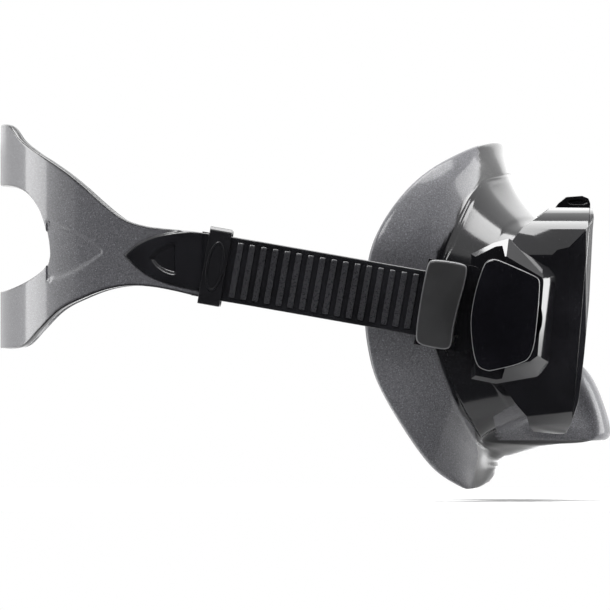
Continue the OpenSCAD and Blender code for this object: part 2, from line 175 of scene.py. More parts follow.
def gloss_black(name, base, rough, peel=0.02, painted_edge_highlight=0.0):
    f = Finish(name)
    haze = f.noise(38.0, 3.0, 0.6)
    peel_noise = f.noise(420.0, 2.0)
    specks = f.noise(2600.0, 1.0).above(0.70, 0.78)
    colour = f.tint(haze.above(0.35, 0.7), tuple(c * 0.75 for c in base), tuple(c * 1.35 for c in base))
    # Where the edge weight is given, the marked rows of a rounded edge are painted pale grey: a painted
    # highlight along the edge.
    if painted_edge_highlight:
        colour = f.tint(f.mark("painted_edge_highlight") * painted_edge_highlight, colour, (0.30, 0.30, 0.31))
    return f.set(Base_Color=f.tint(specks * 0.35, colour, (0.05, 0.05, 0.055)),
                 Roughness=haze * 0.06 + (rough - 0.02) + specks * 0.12, IOR=1.5,
                 Normal=f.bump(peel_noise, peel, 0.0002))


def satin_black(name, base, rough):
    f = Finish(name)
    grain = f.noise(3200.0, 2.0)
    cloud = f.noise(60.0, 3.0)
    colour = f.tint(cloud.above(0.3, 0.75), tuple(c * 0.8 for c in base), tuple(c * 1.25 for c in base))
    # The marked rows of the pad's rounded edge are painted pale grey: a painted highlight along the edge.
    return f.set(Base_Color=f.tint(f.mark("painted_edge_highlight") * 0.35, colour, (0.22, 0.22, 0.23)),
                 Roughness=rough + grain * 0.12, IOR=1.5, Normal=f.bump(grain, 0.22, 0.00012))


def flange_silicone(name):
    """Grey grained silicone, turning to gloss black where the mark 'gloss' is 1."""
    f = Finish(name)
    gloss = f.mark("gloss")
    fine = f.noise(2100.0, 3.0, 0.65)
    grit = f.cells(1500.0)
    cloud = f.noise(45.0, 4.0, 0.6)
    sparkle = f.noise(2900.0, 1.0).above(0.60, 0.74)
    grey = f.tint(fine.above(0.28, 0.72), (0.038, 0.038, 0.043), (0.112, 0.112, 0.123))
    grey = f.tint(sparkle * 0.55, grey, (0.30, 0.30, 0.34))
    grey = f.tint(cloud.above(0.25, 0.8) * 0.35, grey, (0.075, 0.075, 0.082))
    black = f.tint(fine.above(0.4, 0.8), (0.006, 0.006, 0.007), (0.012, 0.012, 0.014))
    black = f.tint(sparkle * 0.20, black, (0.06, 0.06, 0.07))
    height = fine * 0.7 + grit * 0.5
    return f.set(Base_Color=f.tint(gloss, grey, black),
                 Roughness=f.blend(gloss, 0.46 + fine * 0.16, 0.12 + cloud * 0.08),
                 IOR=1.42, Coat_Weight=0.35, Coat_Roughness=0.10,
                 Normal=f.bump(height * (1.0 - gloss * 0.8), 0.30, 0.00014))


def band_silicone(name):
    """Strap silicone: grained grey where the mark 'grey' is 1, satin black elsewhere; where the mark is
    partial, on the ribs, it paints a highlight that makes them paler.
    """
    f = Finish(name)
    grain_and_rib_highlight_mark = f.mark("grey")
    fine = f.noise(2300.0, 3.0, 0.65)
    sparkle = f.noise(3100.0, 1.0).above(0.60, 0.75)
    cloud = f.noise(50.0, 3.0)
    grey = f.tint(fine.above(0.28, 0.72), (0.036, 0.036, 0.040), (0.094, 0.094, 0.103))
    grey = f.tint(sparkle * 0.50, grey, (0.30, 0.30, 0.33))
    black = f.tint(cloud.above(0.3, 0.7), (0.005, 0.005, 0.006), (0.010, 0.010, 0.012))
    black = f.tint(sparkle * 0.10, black, (0.05, 0.05, 0.06))
    return f.set(Base_Color=f.tint(grain_and_rib_highlight_mark, black, grey),
                 Roughness=f.blend(grain_and_rib_highlight_mark, 0.20 + fine * 0.08, 0.34 + fine * 0.14),
                 IOR=1.42, Coat_Weight=0.45, Coat_Roughness=0.09,
                 Normal=f.bump(fine * (grain_and_rib_highlight_mark * 0.7 + 0.3), 0.22, 0.00012))


def turned_steel(name):
    f = Finish(name)
    stretch = f.add("Mapping", None, Vector=f.place(), Scale=(900.0, 5000.0, 900.0))
    lines = f.noise(1.0, 3.0, 0.6, where=stretch)
    stain = f.noise(300.0, 3.0)
    return f.set(Base_Color=f.tint(stain.above(0.35, 0.75), (0.56, 0.56, 0.57), (0.40, 0.40, 0.40)),
                 Metallic=1.0, Roughness=0.22 + lines * 0.18, Normal=f.bump(lines, 0.12, 0.00005))


def clear_glass(name):
    f = Finish(name)
    smear = f.noise(60.0, 4.0, 0.65).above(0.5, 0.85)
    return f.set(Base_Color=f.tint(smear, (0.93, 0.98, 0.97), (0.88, 0.95, 0.94)),
                 Roughness=smear * 0.05 + 0.01, IOR=1.5, Transmission_Weight=1.0)


def pale_plastic(name):
    f = Finish(name)
    cloud = f.noise(200.0, 3.0)
    return f.set(Base_Color=f.tint(cloud, (0.62, 0.61, 0.58), (0.74, 0.73, 0.70)),
                 Roughness=0.4 + cloud * 0.1, Normal=f.bump(cloud, 0.1, 0.00005))


FRAME_GLOSS = gloss_black("frame gloss", (0.0075, 0.0075, 0.0088), 0.07)
BEZEL_GLOSS = gloss_black("bezel gloss", (0.010, 0.010, 0.012), 0.10)
# The cover's rounded edge gets the painted edge highlight at a weight of 0.4.
COVER_GLOSS = gloss_black("cover deep gloss", (0.0040, 0.0040, 0.0052), 0.05, peel=0.01, painted_edge_highlight=0.4)
BUCKLE_BLACK = gloss_black("buckle black", (0.0050, 0.0050, 0.0058), 0.13, peel=0.04)
KEEPER_GLOSS = gloss_black("keeper gloss", (0.0075, 0.0075, 0.0085), 0.11)
# The pad's rounded edge gets the painted edge highlight from this finish.
PAD_SATIN = satin_black("pad satin", (0.021, 0.021, 0.022), 0.30)
SKIRT_SILICONE = flange_silicone("skirt silicone")
STRAP_SILICONE = band_silicone("strap silicone")
STEEL = turned_steel("turned steel")
GLASS = clear_glass("tempered glass")
BUSH_PLASTIC = pale_plastic("bush plastic")


# ---------------------------------------------------------------- mesh helpers
def make_mesh(name, points, faces, material, marks=None, smooth=40.0):
    mesh = bpy.data.meshes.new(name)
    mesh.from_pydata([tuple(p) for p in points], [], [tuple(f) for f in faces])
    mesh.materials.append(material)
    for key, values in (marks or {}).items():
        attribute = mesh.attributes.new(key, "FLOAT", "POINT")
        attribute.data.foreach_set("value", np.asarray(values, np.float32))
    mesh.shade_smooth()
    if smooth:
        mesh.set_sharp_from_angle(angle=math.radians(smooth))
    mesh.update()
    piece = bpy.data.objects.new(name, mesh)
    bpy.context.scene.collection.objects.link(piece)
    return piece


def outward(piece):
    """Merges doubles and turns all faces outwards."""
    work = bmesh.new()
    work.from_mesh(piece.data)
    bmesh.ops.remove_doubles(work, verts=work.verts, dist=1e-7)
    bmesh.ops.recalc_face_normals(work, faces=work.faces)
    work.to_mesh(piece.data)
    work.free()
    return piece


def settle(piece, nodes, body):
    """Lets a piece stand for CAD nodes and its body."""
    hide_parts(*nodes)
    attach(piece, body)
    return piece


def bake_modifiers(piece):
    """Turns the evaluated shape into a plain mesh and drops the modifiers."""
    bpy.context.view_layer.update()
    graph = bpy.context.evaluated_depsgraph_get()
    mesh = bpy.data.meshes.new_from_object(piece.evaluated_get(graph), depsgraph=graph)
    piece.modifiers.clear()
    piece.data = mesh
    return piece


def rounded_copy(node, name, material, width, segments=3, limit=28.0):
    """A copy of a CAD node with its edges rounded."""
    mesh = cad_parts[node].data.copy()
    work = bmesh.new()
    work.from_mesh(mesh)
    bmesh.ops.remove_doubles(work, verts=work.verts, dist=1.5e-6)
    bmesh.ops.dissolve_limit(work, angle_limit=math.radians(1.2), verts=work.verts, edges=work.edges)
    bmesh.ops.dissolve_degenerate(work, edges=work.edges, dist=2e-6)
    work.to_mesh(mesh)
    work.free()
    mesh.materials.clear()
    mesh.materials.append(material)
    piece = bpy.data.objects.new(name, mesh)
    bpy.context.scene.collection.objects.link(piece)
    bevel = piece.modifiers.new("rounding", "BEVEL")
    bevel.width, bevel.segments = width * MM, segments
    bevel.limit_method, bevel.angle_limit = "ANGLE", math.radians(limit)
    bevel.use_clamp_overlap = True
    mesh.shade_smooth()
    weighted = piece.modifiers.new("shading", "WEIGHTED_NORMAL")
    weighted.keep_sharp = False
    return bake_modifiers(piece)


def loop_cut(points, times=2, share=0.22):
    """Rounds the corners of a closed outline."""
    points = [np.array(p, float) for p in points]
    for _ in range(times):
        new = []
        for i, p in enumerate(points):
            q = points[(i + 1) % len(points)]
            new += [p * (1 - share) + q * share, p * share + q * (1 - share)]
        points = new
    return np.array(points)


def evenly(points, count):
    """Points at equal distances along a closed outline."""
    ring = np.vstack([points, points[:1]])
    length = np.r_[0, np.cumsum(np.linalg.norm(np.diff(ring, axis=0), axis=1))]
    at = np.linspace(0, length[-1], count + 1)[:-1]
    return np.column_stack([np.interp(at, length, ring[:, k]) for k in range(ring.shape[1])])


def inset_loop(points, amount):
    """Moves a closed outline inwards by its own normals."""
    ahead, behind = np.roll(points, -1, axis=0), np.roll(points, 1, axis=0)
    along = ahead - behind
    along /= np.linalg.norm(along, axis=1)[:, None]
    area = np.sum(points[:, 0] * ahead[:, 1] - ahead[:, 0] * points[:, 1])
    inward = np.column_stack([-along[:, 1], along[:, 0]]) * (1 if area > 0 else -1)
    return points + inward * amount


def on_strap(u, v, y):
    """Row frame place of a point given along the strap, across it and outwards, in millimetres."""
    return (PIVOT[0] + u * math.cos(TILT) + v * math.sin(TILT), y,
            PIVOT[1] - u * math.sin(TILT) + v * math.cos(TILT))


def upright(x, z, y):
    return (x, y, z)


def plate(name, outline, low, high, rounding, material, place, side, dome=0.0, count=160, steps=6, under=0.25,
          painted_edge_highlight_rows=(2, 3)):
    """A plate with a rounded upper edge and a slight crown, on the left (1) or right (-1) side; chosen rows
    of the edge carry the mark for a painted highlight.
    """
    base = evenly(outline, count)
    rings = [(under, low), (0.0, low + under)]
    # The rounding rows picked by the row argument carry the mark for a painted edge highlight; the other rows
    # carry 0.
    painted_edge_highlight = [0.0, 0.0]
    for k in range(steps + 1):
        turn = math.pi / 2 * k / steps
        painted_edge_highlight.append(1.0 if k in painted_edge_highlight_rows else 0.0)
        rings.append((rounding * (1 - math.cos(turn)), high - rounding * (1 - math.sin(turn))))
    points, faces = [], []
    for amount, height in rings:
        points += [place(a, b, height) for a, b in inset_loop(base, amount)]
    inner = inset_loop(base, rounding)
    centre = inner.mean(axis=0)
    for share in (0.93, 0.82, 0.66, 0.48, 0.30, 0.14):
        lift = dome * (1 - share ** 2)
        points += [place(*(centre + (p - centre) * share), high + lift) for p in inner]
    rows = len(points) // count
    top = len(points)
    points.append(place(centre[0], centre[1], high + dome))
    bottom = len(points)
    points.append(place(centre[0], centre[1], low))
    for r in range(rows - 1):
        for j in range(count):
            k = (j + 1) % count
            faces.append((r * count + j, r * count + k, (r + 1) * count + k, (r + 1) * count + j))
    for j in range(count):
        k = (j + 1) % count
        faces.append(((rows - 1) * count + j, (rows - 1) * count + k, top))
        faces.append((k, j, bottom))
    points = [(x * MM, side * y * MM, z * MM) for x, y, z in points]
    # Per-point mark for the painted edge highlight.
    marks = np.zeros(len(points))
    marks[:len(painted_edge_highlight) * count] = np.repeat(painted_edge_highlight, count)
    return outward(make_mesh(name, points, faces, material, {"painted_edge_highlight": marks}, smooth=50.0))


# ---------------------------------------------------------------- skirt
FRONT = [(0, 35.8), (24, 36.2), (46, 36.4), (60, 33.5), (69, 28), (74, 21), (76, 13), (76.5, 2), (76, -9),
         (73.5, -18), (67, -28), (57, -36.5), (43, -40.2), (30, -38.5), (19.5, -29), (12, -17), (0, -12)]
EXIT = [(38, 0, 29.6), (37.6, 24, 30.8), (32.4, 44.5, 30.8), (27.4, 56.5, 28.8), (24.5, 64, 24.3),
        (22, 68.6, 19), (15, 70.6, 12), (11, 71.2, 2), (12.5, 70.6, -8.5), (17, 68.6, -16), (24, 63, -24.5),
        (28, 54.5, -30.6), (31, 42.5, -34), (32, 30, -33.4), (36.8, 19.5, -29.8), (38.6, 12, -18.5),
        (39, 0, -12.4)]
ROOT = [(26.5, 0, 47.5), (24.5, 22, 47.5), (17.5, 40, 46), (13, 52, 41), (9.5, 60, 34.5), (6, 66, 26.5),
        (2, 70, 17), (-1, 71.5, 2), (0, 70.5, -10), (3, 67, -18.5), (7, 59, -29), (11, 49, -36.5),
        (14, 38, -41.5), (17, 28, -44.5), (20.5, 18, -46), (23.5, 9, -47.5), (24.5, 0, -48.3)]
FLANGE = [(25, 0, 53.5), (22.5, 23, 53.5), (15, 43, 51), (6.5, 56, 46), (0, 64, 38.5), (-6, 70, 28),
          (-10, 72.6, 17.5), (-12, 73.3, 2), (-11, 72.6, -11), (-7.5, 69.5, -22), (-0.5, 61, -36),
          (5.5, 51, -45), (11, 38, -50.5), (14.5, 27.5, -52.5), (18, 17, -52.5), (21, 8.5, -52),
          (22, 0, -51.5)]
CREST = [(24.4, 0, 57.8), (21, 22.5, 57.8), (12.2, 42.5, 55.2), (0.5, 57, 48.8), (-9, 65.5, 40.3),
         (-16.8, 70.8, 29.2), (-20.5, 73, 18.2), (-21.8, 73.4, 2), (-20.5, 72.6, -11.5),
         (-16.8, 69.3, -23.8), (-7, 61, -40.3), (1.2, 51, -51.2), (10, 37, -57.3), (13.2, 26.5, -58),
         (16.5, 15.5, -57.3), (19.5, 7.5, -55), (21, 0, -54.2)]
EDGE = [(22.3, 0, 58.7), (19.8, 21.5, 58.6), (11.2, 41, 55.9), (-1, 55.5, 49.3), (-10.4, 63.5, 40.9),
        (-18, 68.5, 29.6), (-21.9, 70.5, 18.4), (-23.1, 71, 2), (-21.9, 70, -11.6), (-18.2, 67, -24.2),
        (-8.5, 58.5, -41), (0.2, 48.5, -52.2), (9.5, 35, -58.3), (12.9, 25, -58.9), (15.8, 14.5, -58.3),
        (18.2, 7, -57), (19.2, 0, -56.6)]
NOSE = [[(44, 14, -28.6), (47, 13.5, -32.5), (49.5, 15, -39), (47.5, 16.5, -42.8), (38, 18, -44)],
        [(46, 9.2, -18.6), (52.5, 9.5, -25), (57, 10.5, -37), (55.5, 11.5, -42.3), (44, 12.5, -43.6)],
        [(47, 0, -14.4), (54.5, 0, -22), (60, 0, -37), (58.3, 0, -42.6), (45, 0, -43.7)]]


def skirt_cage():
    """Control points of the outer skin: 32 stations round, 12 rows from lens seat to seal edge."""
    last = len(FRONT) - 1
    front = np.array(FRONT, float)
    half = []
    for i in range(last + 1):
        before = np.array([-front[1][0], front[1][1]]) if i == 0 else front[i - 1]
        after = np.array([-front[last - 1][0], front[last - 1][1]]) if i == last else front[i + 1]
        d = (after - before) / np.linalg.norm(after - before)
        inward = np.array([d[1], -d[0]])
        row = []
        for inset, back in ((12, 7.85), (9.2, 10)):
            p = front[i] + inward * inset
            row.append((FACE_X - back + p[1] * math.tan(LEAN), p[0], p[1]))
        row.append(EXIT[i])
        if i >= last - 2:
            row += NOSE[i - last + 2]
        else:
            a, b = np.array(EXIT[i], float), np.array(ROOT[i], float)
            bulge = np.array([-1.6, 0, 0])
            row += [a * (1 - t / 6) + b * t / 6 + bulge * math.sin(math.pi * t / 6) for t in range(1, 6)]
        row += [ROOT[i], FLANGE[i], CREST[i], EDGE[i]]
        half.append([np.array(p, float) for p in row])
    half = np.array(half)
    other = half[1:-1][::-1] * np.array([1, -1, 1])
    return np.concatenate([half, other])


def spline(a, b, c, d, t):
    """Catmull-Rom curve from b to c, at the share t of the way."""
    square = (2 * a - 5 * b + 4 * c - d) * t ** 2
    return 0.5 * (2 * b + (c - a) * t + square + (3 * b - a - 3 * c + d) * t ** 3)


def skirt_skin(cage, stations, rows):
    """The smooth skin at the given fractional stations and rows, as a rows x stations grid."""
    loops, count = cage.shape[0], cage.shape[1]
    i = np.floor(stations).astype(int)
    t = (stations - i)[:, None, None]
    around = spline(*[cage[(i + j) % loops] for j in (-1, 0, 1, 2)], t)
    k = np.minimum(np.floor(rows).astype(int), count - 2)
    t = (rows - k)[None, :, None]
    pick = [around[:, np.clip(k + j, 0, count - 1)] for j in (-1, 0, 1, 2)]
    return spline(*pick, t).transpose(1, 0, 2)


GLOSS_LINE = [(60, 15.2), (56.8, 15.0), (47.6, 15.6), (42.8, 14.3), (38.8, 9.9), (34, 7.7), (30.3, 7.1),
              (26.2, 4.1), (21.4, 1.0), (5, -1.5), (-8.5, -0.3), (-17.3, 2.4), (-26.9, 6.1), (-33, 9.2),
              (-38.1, 13.6), (-46.9, 15.2), (-55.1, 13.8), (-60, 13.8)]


def wall_gloss(skin):
    """1 on the glossy wall before the flange and on the pocket lip, 0 on the flange and the nose pocket."""
    x, y, z = skin[..., 0], np.abs(skin[..., 1]), skin[..., 2]
    heights = np.array([p[0] for p in GLOSS_LINE][::-1], float)
    line = np.interp(z, heights, np.array([p[1] for p in GLOSS_LINE][::-1], float))
    wall = np.clip((x - line) / 0.5 + 0.5, 0, 1)
    pocket = np.clip((x - (19.8 + np.maximum(-34 - z, 0) * 0.25)) / 0.6, 0, 1)
    pocket = pocket * np.clip((-29.5 - z + (x - 27.9) * 0.6) / 0.8, 0, 1)
    pocket = np.maximum(pocket, np.clip((x - 44) / 0.8, 0, 1) * (z < -8))
    lip = np.clip((-42.3 - z) / 0.3, 0, 1) * np.clip((x - 20.5) / 0.6, 0, 1)
    return wall * (1 - pocket * (1 - lip))


def build_skirt():
    """The closed skin of the skirt, thinner towards the seal edge."""
    cage = skirt_cage()
    loops = cage.shape[0]
    round_steps = 320
    stations = np.arange(round_steps) * loops / round_steps
    rows = np.concatenate([np.linspace(0, 2, 7)[:-1], np.linspace(2, 8, 61)[:-1], np.linspace(8, 11, 49)])
    outer = skirt_skin(cage, stations, rows)
    a = skirt_skin(cage, stations + 0.05, rows) - skirt_skin(cage, stations - 0.05, rows)
    b = (skirt_skin(cage, stations, np.minimum(rows + 0.05, 11))
         - skirt_skin(cage, stations, np.maximum(rows - 0.05, 0)))
    normal = np.cross(a, b)
    normal /= np.linalg.norm(normal, axis=2)[:, :, None]
    thick = np.where(rows < 8, 2.2, 2.2 - 1.4 * (rows - 8) / 3)[:, None, None]
    # a soft step where the glossy wall turns into the grained flange
    step = np.exp(-((rows - 8.0) / 0.07) ** 2) * 0.28
    outer = outer - normal * step[:, None, None]
    inner = outer - normal * thick
    reach = outer[-1] - outer[-2]
    tip = (outer[-1] + inner[-1]) / 2 + reach / np.linalg.norm(reach, axis=1)[:, None] * 0.3
    grid = np.concatenate([outer, tip[None], inner[::-1]])
    gloss_outer = wall_gloss(outer)
    gloss = np.concatenate([gloss_outer, np.zeros((1, round_steps)), np.full_like(gloss_outer, 0.55)])
    count = grid.shape[0]
    faces = []
    for r in range(count):
        r2 = (r + 1) % count
        for j in range(round_steps):
            k = (j + 1) % round_steps
            here, there = r * round_steps, r2 * round_steps
            faces.append((here + j, there + j, there + k, here + k))
    points = grid.reshape(-1, 3) * MM
    piece = make_mesh("face_skirt", points, faces, SKIRT_SILICONE, {"gloss": gloss.ravel()}, smooth=None)
    outward(piece)
    return settle(piece, ["skirt"], "mask")


build_skirt()

# ---------------------------------------------------------------- hard frame
body_frame = rounded_copy("frame", "mask_frame", FRAME_GLOSS, 0.7)
settle(body_frame, ["frame"], "mask")
front_bezel = rounded_copy("lens_bezel", "front_bezel", BEZEL_GLOSS, 0.35)
settle(front_bezel, ["lens_bezel"], "mask")
top_clip = rounded_copy("bezel_clip_top", "top_clip", FRAME_GLOSS, 0.25, segments=2)
settle(top_clip, ["bezel_clip_top"], "mask")

COVER = [(17.3, 18), (19.7, 19), (21.8, 18.7), (34, 13.3), (35.4, 12.2), (35.7, 10.2), (35, -0.3),
         (33.3, -14.3), (27.5, -17), (19.7, -18.7), (18.4, -19), (15.3, -18), (13.9, -16), (12.9, -11.9),
         (12.2, -5.4), (12.2, -0.3), (13.3, 6.1), (14.6, 11.2), (16.3, 16)]
PAD = [(-28.4, 15.2), (-22, 15.6), (-17.4, 15.5), (-15.9, 14.4), (-16.0, 8), (-16.9, 0), (-17.2, -7),
       (-16.7, -12.6), (-18.4, -14.2), (-23, -14.25), (-28.2, -13.9), (-29.5, -11), (-29.9, 0), (-29.8, 9),
       (-29.5, 13.6)]

for side, word in ((1, "left"), (-1, "right")):
    buckle = word + "_buckle"
    cover = plate(word + "_cover_panel", loop_cut(COVER, 2, 0.24), COVER_Y, COVER_Y + 3.0, 0.75,
                  COVER_GLOSS, upright, side, dome=0.2, count=200)
    settle(cover, [word + "_buckle_cover"], "mask")
    pad_outline = loop_cut(PAD, 3, 0.25)
    pad = plate(word + "_release_lever", pad_outline, PAD_Y, PAD_Y + 2.4, 1.1, PAD_SATIN, on_strap, side,
                dome=0.6)
    settle(pad, [word + "_release_pad"], word + "_pad")
    arm = rounded_copy(word + "_buckle_arm", word + "_swivel_arm", BUCKLE_BLACK, 0.5)
    settle(arm, [word + "_buckle_arm"], buckle)
    loop = rounded_copy(word + "_keeper", word + "_strap_keeper", KEEPER_GLOSS, 0.55)
    settle(loop, [word + "_keeper"], word + "_keeper")
    for node, material in (("_pivot_pin", STEEL), ("_roller_pin", STEEL), ("_pad_pin", STEEL),
                           ("_pad_spring", STEEL), ("_pivot_bush", BUSH_PLASTIC),
                           ("_strap_roller", BUCKLE_BLACK)):
        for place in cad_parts[word + node].material_slots:
            place.material = material
for node in ("lens_left", "lens_right"):
    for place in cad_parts[node].material_slots:
        place.material = GLASS

# ---------------------------------------------------------------- strap
TOP_EDGE = [(-58, 24.6), (-64.2, 25.75), (-75, 27.4), (-85.7, 28.7), (-92, 29.3), (-97.6, 30.1),
            (-105.1, 32.7), (-112.2, 38.1), (-118, 43.2), (-123.8, 47.9), (-130, 52.2), (-136, 56.1),
            (-140.5, 59.8), (-143.8, 64.2), (-147, 65)]
LOW_EDGE = [(-58, 2.4), (-68, 4.1), (-74, 5.1), (-79.9, 6.3), (-87, 8.0), (-94.5, 9.4), (-102.7, 9.9),
            (-109.8, 8.8), (-118, 5.9), (-127.8, 0.6), (-133.6, -5.2), (-139, -10.6), (-143, -11.5),
            (-147, -11.5)]
SPLIT_TOP = [(SPLIT_X, SPLIT_Z), (-130.2, 24.5), (-131.6, 30.9), (-133.6, 36.3), (-137.4, 41.3),
             (-141.8, 43.4), (-147, 43.8)]
SPLIT_LOW = [(SPLIT_X, SPLIT_Z), (-130.6, 17.0), (-133.3, 14.2), (-138.4, 11.0), (-144.2, 8.6),
             (-147, 8.2)]


def rounded_at(table, x, times=3):
    """Value at x on an open outline of (x, value) with its corners rounded, with x falling."""
    points = [np.array(p, float) for p in table]
    for _ in range(times):
        inner = []
        for a, b in zip(points, points[1:]):
            inner += [a * 0.75 + b * 0.25, a * 0.25 + b * 0.75]
        points = [points[0]] + inner + [points[-1]]
    points = np.array(points)
    return np.interp(-np.asarray(x, float), -points[:, 0], points[:, 1])


def smooth_at(table, x):
    """Smooth curve through a table of (x, value), with x falling."""
    xs = np.array([-p[0] for p in table])
    ys = np.array([p[1] for p in table], float)
    slope = np.gradient(ys, xs)
    x = np.clip(-np.asarray(x, float), xs[0], xs[-1])
    i = np.clip(np.searchsorted(xs, x) - 1, 0, len(xs) - 2)
    h = xs[i + 1] - xs[i]
    t = (x - xs[i]) / h
    return ((1 + 2 * t) * (1 - t) ** 2 * ys[i] + t * (1 - t) ** 2 * h * slope[i]
            + t ** 2 * (3 - 2 * t) * ys[i + 1] + t ** 2 * (t - 1) * h * slope[i + 1])


def loop_path(s):
    """Outer face of the strap loop on the left side: place and outward direction at length s behind x = 0."""
    straight = -BEND_X
    arc = BEND_R * math.pi / 2
    s = np.asarray(s, float)
    x, y = -s, np.full_like(s, LAYER_Y1)
    nx, ny = np.zeros_like(s), np.ones_like(s)
    turn = np.clip((s - straight) / BEND_R, 0, math.pi / 2)
    bent = s > straight
    x = np.where(bent, BEND_X - BEND_R * np.sin(turn), x)
    y = np.where(bent, BACK_HALF + BEND_R * np.cos(turn) - np.maximum(s - straight - arc, 0), y)
    nx = np.where(bent, -np.sin(turn), nx)
    ny = np.where(bent, np.cos(turn), ny)
    return x, y, nx, ny


def band_section(low, high, depth, rounding, across):
    """Closed cross-section (height, offset from the outer face) with both long edges rounded."""
    r = rounding
    corner = [(r * (1 - math.cos(t)), r * (1 - math.sin(t))) for t in np.linspace(0, math.pi / 2, 6)]
    outer = [(low + a, -b) for a, b in corner]
    middle = [(low + r + (high - low - 2 * r) * k / across, 0.0) for k in range(1, across)]
    outer += middle + [(high - a, -b) for a, b in corner[::-1]]
    inner = [(high - a, -depth + b) for a, b in corner]
    inner += [(z, -depth) for z, _ in middle[::-1]] + [(low + a, -depth + b) for a, b in corner[::-1]]
    return outer, inner


def build_band(s, low, high, grey, lift, across=48, rounding=0.55):
    """Sweeps the section along the loop; gives points, faces and the mark 'grey' of each point."""
    x, y, nx, ny = loop_path(s)
    points, greys = [], []
    for c in range(len(s)):
        outer, inner = band_section(low[c], high[c], STRAP_T, min(rounding, (high[c] - low[c]) / 2.2), across)
        for number, (z, off) in enumerate(outer + inner):
            rise = lift(x[c], z) if number < len(outer) else 0.0
            points.append(((x[c] + nx[c] * (off + rise)), (y[c] + ny[c] * (off + rise)), z))
            near = min(z - low[c], high[c] - z)
            greys.append(grey(x[c], z) * min(max((near - 0.35) / 0.5, 0), 1))
    size = len(outer) + len(inner)
    faces = []
    for c in range(len(s) - 1):
        for k in range(size):
            m = (k + 1) % size
            faces.append((c * size + k, c * size + m, (c + 1) * size + m, (c + 1) * size + k))
    faces.append(tuple(range(size)))
    faces.append(tuple((len(s) - 1) * size + k for k in range(size))[::-1])
    return points, faces, greys


def tongue_depth(u, v):
    """How far a point lies inside the outline of the tongue, counted from its tip."""
    reach = 7.6 * (1 - math.exp(-((u / 7.0) ** 1.1)))
    return min(reach * 1.02 + 0.04 * u - v, v + reach * 1.08 + 0.16 * u)


def tongue_lift(x, z):
    """Raised tongue behind the keeper, with the hollow in its middle."""
    u, v = x - TONGUE_X, z - TONGUE_Z
    if u < 0 or x > -78:
        inside = -1.0
    else:
        inside = tongue_depth(u, v)
    lift = 0.6 * min(max(inside / 0.6, 0), 1)
    hu, hv = x - HOLLOW_X, z - HOLLOW_Z
    if 0 < hu < HOLLOW_LENGTH:
        hollow = min(5.8 * (1 - math.exp(-hu / 3.2)) - abs(hv), (HOLLOW_LENGTH - hu) * 2)
        lift -= 1.3 * min(max(hollow / 0.7, 0), 1)
    return lift


def band_grey(x, z):
    """Where the band is grained grey: behind the tongue and round the back."""
    u, v = x - TONGUE_X, z - TONGUE_Z
    if x > -79:
        return 0.0
    if u < 0:
        return 1.0
    return min(max(-tongue_depth(u, v) / 0.5, 0), 1)


def crotch_panel(x, z):
    """Shallow recess in front of the split."""
    d = x - PANEL_X
    if d < 0 or d > PANEL_LENGTH:
        return 0.0
    half = 9.0 * (1 - (d / PANEL_LENGTH) ** 1.6) + 1.0
    return -0.45 * min(max((half - abs(z - PANEL_Z)) / 0.8, 0), 1)


def build_strap():
    """The whole strap: the loop, its split back band, the wraps round the rollers and both tails."""
    parts = []

    def strap_top(xs):
        ramp = PIVOT[1] + (PIVOT[0] - xs) * math.tan(TILT) + STRAP_W / 2 / math.cos(TILT)
        return np.where(xs > -60, ramp, smooth_at(TOP_EDGE, xs))

    def strap_low(xs):
        ramp = PIVOT[1] + (PIVOT[0] - xs) * math.tan(TILT) - STRAP_W / 2 / math.cos(TILT)
        return np.where(xs > -60, ramp, smooth_at(LOW_EDGE, xs))

    def lift(x, z):
        return tongue_lift(x, z) + crotch_panel(x, z)

    start = 0.5
    crotch_s = -BEND_X + BEND_R * math.asin((BEND_X - SPLIT_X) / BEND_R)
    end_s = -BEND_X + BEND_R * math.pi / 2 + BACK_HALF
    s_front = np.concatenate([np.linspace(start, 76, 60)[:-1], np.linspace(76, crotch_s, 110)])
    x, _, _, _ = loop_path(s_front)
    parts.append((s_front, strap_low(x), strap_top(x)))
    s_back = crotch_s + (end_s - crotch_s) * np.linspace(0, 1, 120) ** 2.2
    xb, _, _, _ = loop_path(s_back)
    mid_top = rounded_at(SPLIT_TOP, xb)
    mid_low = rounded_at(SPLIT_LOW, xb)
    parts.append((s_back, np.maximum(mid_top, SPLIT_Z + 0.001), strap_top(xb)))
    parts.append((s_back, strap_low(xb), np.minimum(mid_low, SPLIT_Z - 0.001)))
    points, faces, greys = [], [], []
    for s, low, high in parts:
        p, f, g = build_band(s, low, high, band_grey, lift)
        for sign in (1, -1):
            base = len(points)
            points += [(a, sign * b, c) for a, b, c in p]
            faces += [tuple(base + k for k in face) for face in f]
            greys += g
    # wrap round the roller and the tail inside
    plan = []
    for t in np.linspace(0, math.pi, 25):
        outside = WRAP_IN + STRAP_T
        plan.append((ROLLER_U + outside * math.sin(t), ROLLER_Y + outside * math.cos(t)))
    plan += [(-28, ROLLER_Y - WRAP_IN - STRAP_T), (-43, TAIL_Y1 - STRAP_T), (-106, TAIL_Y1 - STRAP_T),
             (-106, TAIL_Y1), (-42.5, TAIL_Y1), (-27.5, ROLLER_Y - WRAP_IN)]
    for t in np.linspace(math.pi, 0, 21):
        plan.append((ROLLER_U + WRAP_IN * math.sin(t), ROLLER_Y + WRAP_IN * math.cos(t)))
    plan += [(-26, LAYER_Y0), (-26, LAYER_Y1)]
    for sign in (1, -1):
        base = len(points)
        for v in (-TAIL_HALF, TAIL_HALF):
            for u, yy in plan:
                px, py, pz = on_strap(u, v, yy)
                points.append((px, sign * py, pz))
                greys.append(0.0)
        n = len(plan)
        for k in range(n):
            m = (k + 1) % n
            faces.append((base + k, base + m, base + n + m, base + n + k))
        faces.append(tuple(base + k for k in range(n)))
        faces.append(tuple(base + n + k for k in range(n))[::-1])
    points = np.array(points) * MM
    piece = make_mesh("head_strap", points, faces, STRAP_SILICONE, {"grey": greys}, smooth=55.0)
    outward(piece)
    return piece


strap = build_strap()


